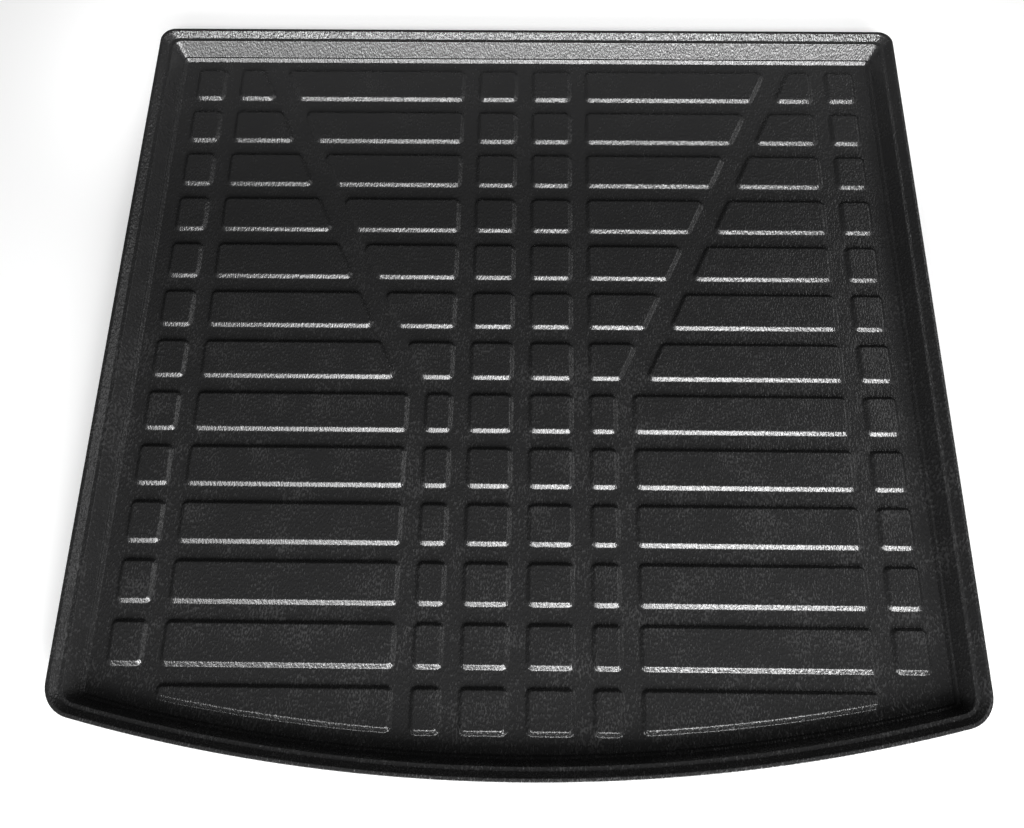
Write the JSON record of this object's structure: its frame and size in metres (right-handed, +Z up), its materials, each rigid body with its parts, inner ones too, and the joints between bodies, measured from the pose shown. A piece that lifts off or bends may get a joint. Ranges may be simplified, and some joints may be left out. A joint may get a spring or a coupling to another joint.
{
  "type": "car boot liner",
  "caption": "Shallow one-piece tray of black plastic sheet that lines a car boot, with raised hollow grip pads, a stepped wall and a sloping, lipped rim.",
  "frame": {"origin": "middle of the tray's width and depth, on the surface that it lies on", "axes": "+X across the car, +Y towards the seats (the straight edge), +Z up; the bowed tailgate edge is on the -Y side"},
  "size_m": [1, 0.984, 0.0345],
  "materials": {
    "black_plastic": "fine moulded grain with a low sheen"
  },
  "bodies": {
    "root": {"liner_tray": "black_plastic"}
  },
  "joints": []
}
